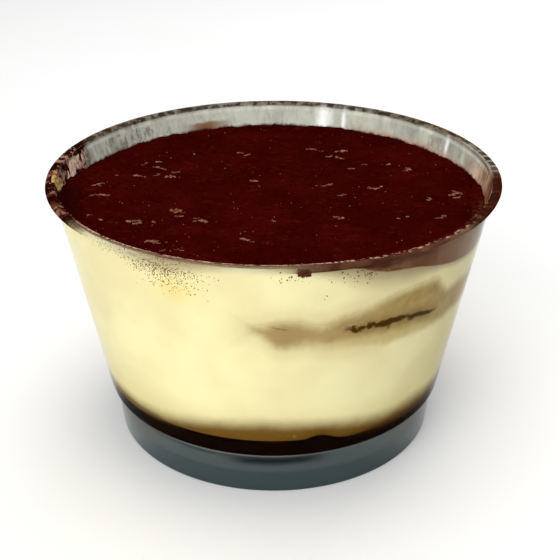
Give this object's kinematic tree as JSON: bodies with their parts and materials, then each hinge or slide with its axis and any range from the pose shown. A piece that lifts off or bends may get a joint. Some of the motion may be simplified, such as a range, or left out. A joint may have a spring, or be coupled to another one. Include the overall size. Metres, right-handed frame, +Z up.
{
  "type": "tiramisu cup",
  "caption": "Tiramisu in a squat clear plastic cup: soaked base, sponge, mascarpone cream with a ladyfinger against the wall, cocoa on top.",
  "frame": {"origin": "centre of the foot ring, on the surface that the cup stands on", "axes": "+Z up along the cup's axis; the side with the ladyfinger against the wall faces -Y and +X"},
  "size_m": [0.095, 0.095, 0.0573],
  "materials": {
    "clear_plastic": "clear, moulded, lightly dusted with cocoa at the rim",
    "soaked_sponge": "sponge soaked black with coffee, moist",
    "sponge": "tan biscuit, porous, blurred by cream",
    "cream": "pale yellow mascarpone cream, smooth",
    "cocoa": "fine dark red-brown powder"
  },
  "bodies": {
    "root": {"cup": "clear_plastic", "coffee_base": "soaked_sponge", "lower_sponge": "sponge", "cream": "cream", "ladyfinger": "sponge", "cocoa_top": "cocoa"}
  },
  "joints": []
}
